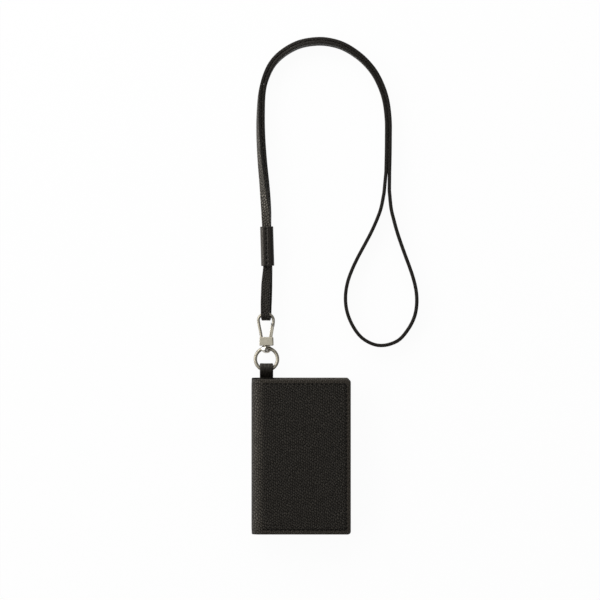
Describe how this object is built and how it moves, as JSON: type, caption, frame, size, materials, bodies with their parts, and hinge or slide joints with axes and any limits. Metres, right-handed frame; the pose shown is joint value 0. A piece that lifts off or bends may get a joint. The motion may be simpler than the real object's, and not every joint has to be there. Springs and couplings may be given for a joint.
{
  "type": "card holder with lanyard",
  "caption": "Folding leather card holder that opens like a book, hung by a tab, ring and swivel snap hook from a flat leather neck strap gathered in a sewn sleeve.",
  "frame": {"origin": "middle of the back cover's outer face, where the case lies on a table", "axes": "+X from the folded spine to the open edge, +Y up the case towards the tab and the strap, +Z out of the front cover"},
  "size_m": [0.1175, 0.3496, 0.012],
  "materials": {
    "cover_leather": "fine pebbled grain, satin, black with a warm brown cast",
    "lining_leather": "smooth, matt",
    "strap_leather": "fine grain with painted edges, satin",
    "board": "uncoated pressed board",
    "clear_film": "clear flexible film, gloss",
    "satin_nickel": "satin nickel plate, warm grey",
    "spring_steel": "bare spring wire"
  },
  "bodies": {
    "back_half": {"back_cover": "cover_leather", "back_board": "board", "back_lining": "lining_leather", "card_pocket_upper": "lining_leather", "card_pocket_middle": "lining_leather", "card_pocket_lower": "lining_leather", "tab_loop": "cover_leather"},
    "spine": {"spine_fold": "cover_leather", "spine_lining": "lining_leather"},
    "front_half": {"front_cover": "cover_leather", "front_board": "board", "front_lining": "lining_leather", "window_film": "clear_film", "window_frame": "lining_leather"},
    "ring": {"ring": "satin_nickel"},
    "swivel_eye": {"swivel_eye": "satin_nickel"},
    "hook": {"housing": "satin_nickel", "hook_bow": "satin_nickel", "gate_pin": "spring_steel", "gate_spring": "spring_steel"},
    "gate": {"gate": "satin_nickel"},
    "lanyard": {"neck_strap": "strap_leather", "strap_keeper": "strap_leather"}
  },
  "joints": [
    {"name": "spine_open", "type": "hinge", "parent": "back_half", "child": "spine", "pos_m": [-0.03314, 0, 0.00176], "axis": [0, -1, 0], "range_deg": [0, 90], "deforming": ["spine_fold", "spine_lining"]},
    {"name": "cover_open", "type": "hinge", "parent": "spine", "child": "front_half", "pos_m": [-0.03314, 0, 0.01024], "axis": [0, -1, 0], "range_deg": [0, 90]},
    {"name": "ring_swing", "type": "hinge", "parent": "back_half", "child": "ring", "pos_m": [-0.02435, 0.0613, 0.00397], "axis": [1, 0, 0], "range_deg": [-80, 80]},
    {"name": "eye_swing", "type": "hinge", "parent": "ring", "child": "swivel_eye", "pos_m": [-0.02435, 0.07582, 0.00397], "axis": [1, 0, 0], "range_deg": [-55, 55]},
    {"name": "hook_swivel", "type": "hinge", "parent": "swivel_eye", "child": "hook", "pos_m": [-0.02435, 0.07757, 0.00397], "axis": [0, -1, 0], "continuous": true},
    {"name": "gate_open", "type": "hinge", "parent": "hook", "child": "gate", "pos_m": [-0.02165, 0.08155, 0.00397], "axis": [0, 0, 1], "range_deg": [0, 25], "stiffness_Nm_per_rad": 0.002, "springref_deg": -28.65, "deforming": ["gate_spring"]},
    {"name": "lanyard_swing", "type": "hinge", "parent": "hook", "child": "lanyard", "pos_m": [-0.02435, 0.0995, 0.00397], "axis": [1, 0, 0], "range_deg": [-40, 40]}
  ],
  "couplings": [
    {"joint": "spine_open", "follows": "cover_open", "ratio": 1}
  ]
}
